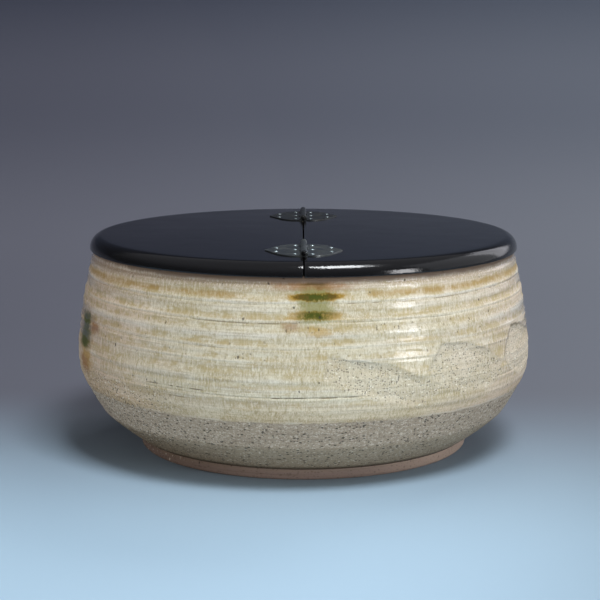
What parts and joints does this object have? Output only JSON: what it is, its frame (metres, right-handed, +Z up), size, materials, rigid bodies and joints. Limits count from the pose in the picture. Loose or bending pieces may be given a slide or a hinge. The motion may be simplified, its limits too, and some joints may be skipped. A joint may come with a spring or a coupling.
{
  "type": "water jar",
  "caption": "Wide, low stoneware water jar on a trimmed foot ring, with a split black lacquer lid whose halves fold on leaf-shaped hinges and lift off.",
  "frame": {"origin": "middle of the foot ring's underside, on the surface that the jar stands on", "axes": "+Z up; -Y is the front, where the glaze's green run is; the lid's seam runs along Y and the half at +X folds up"},
  "size_m": [0.252, 0.2519, 0.1206],
  "materials": {
    "glazed_stoneware": "ivory ash glaze with amber streaks over bare speckled clay at the foot",
    "black_lacquer": "gloss",
    "dark_bronze": "satin",
    "worn_bronze": "satin"
  },
  "bodies": {
    "jar": {"jar": "glazed_stoneware"},
    "lid_left": {"lid_left_half": "black_lacquer", "front_hinge_left_leaf": "dark_bronze", "front_hinge_pin": "dark_bronze", "front_hinge_left_nails": "worn_bronze", "back_hinge_left_leaf": "dark_bronze", "back_hinge_pin": "dark_bronze", "back_hinge_left_nails": "worn_bronze"},
    "lid_right": {"lid_right_half": "black_lacquer", "front_hinge_right_leaf": "dark_bronze", "front_hinge_right_nails": "worn_bronze", "back_hinge_right_leaf": "dark_bronze", "back_hinge_right_nails": "worn_bronze"}
  },
  "joints": [
    {"name": "lid_lift", "type": "slide", "parent": "jar", "child": "lid_left", "axis": [0, 0, 1], "range_m": [0, 0.12]},
    {"name": "lid_fold", "type": "hinge", "parent": "lid_left", "child": "lid_right", "pos_m": [0, 0, 0.11895], "axis": [0, -1, 0], "range_deg": [0, 180]}
  ]
}
